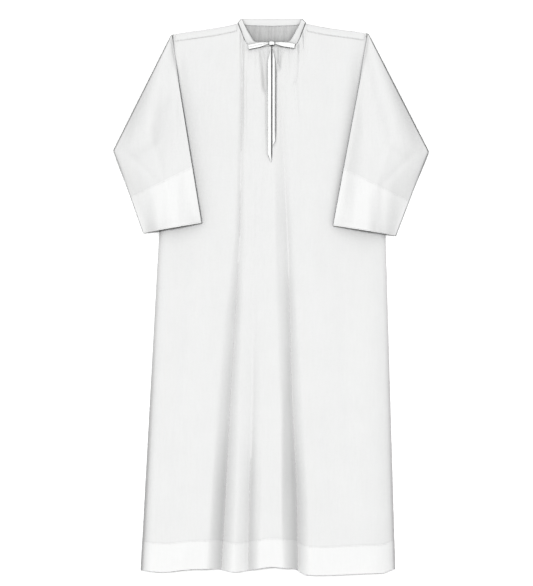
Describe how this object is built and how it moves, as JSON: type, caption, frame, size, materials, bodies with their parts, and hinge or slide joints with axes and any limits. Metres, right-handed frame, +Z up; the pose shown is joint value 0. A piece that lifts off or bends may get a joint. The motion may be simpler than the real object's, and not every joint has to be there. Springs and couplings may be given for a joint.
{
  "type": "alb robe",
  "caption": "Long white alb laid flat, front up, with gathered neck band, tied front slit, folded-over sleeves, deep doubled cuffs and hem.",
  "frame": {"origin": "centre of the bounding box at the surface that the robe lies on", "axes": "+X across the robe to the viewer's right as it lies front up, +Y from hem to neck, +Z up from the surface"},
  "size_m": [0.8373, 1.4795, 0.0278],
  "materials": {
    "panel_cloth": "matt plain-woven white cotton blend, one layer",
    "band_cloth": "the same cloth doubled, so whiter and firmer",
    "tie_tape": "narrow doubled white tape, matt, close weave"
  },
  "bodies": {
    "root": {"front_panel": "panel_cloth", "back_panel": "panel_cloth", "hem_band_front": "band_cloth", "hem_band_back": "band_cloth", "sleeve_left": "panel_cloth", "sleeve_right": "panel_cloth", "cuff_left": "band_cloth", "cuff_right": "band_cloth", "shoulder_band_left": "band_cloth", "shoulder_band_right": "band_cloth", "collar": "band_cloth", "slit_facing_left": "tie_tape", "slit_facing_right": "tie_tape", "tie_left": "tie_tape", "tie_right": "tie_tape", "tie_knot": "tie_tape"}
  },
  "joints": []
}
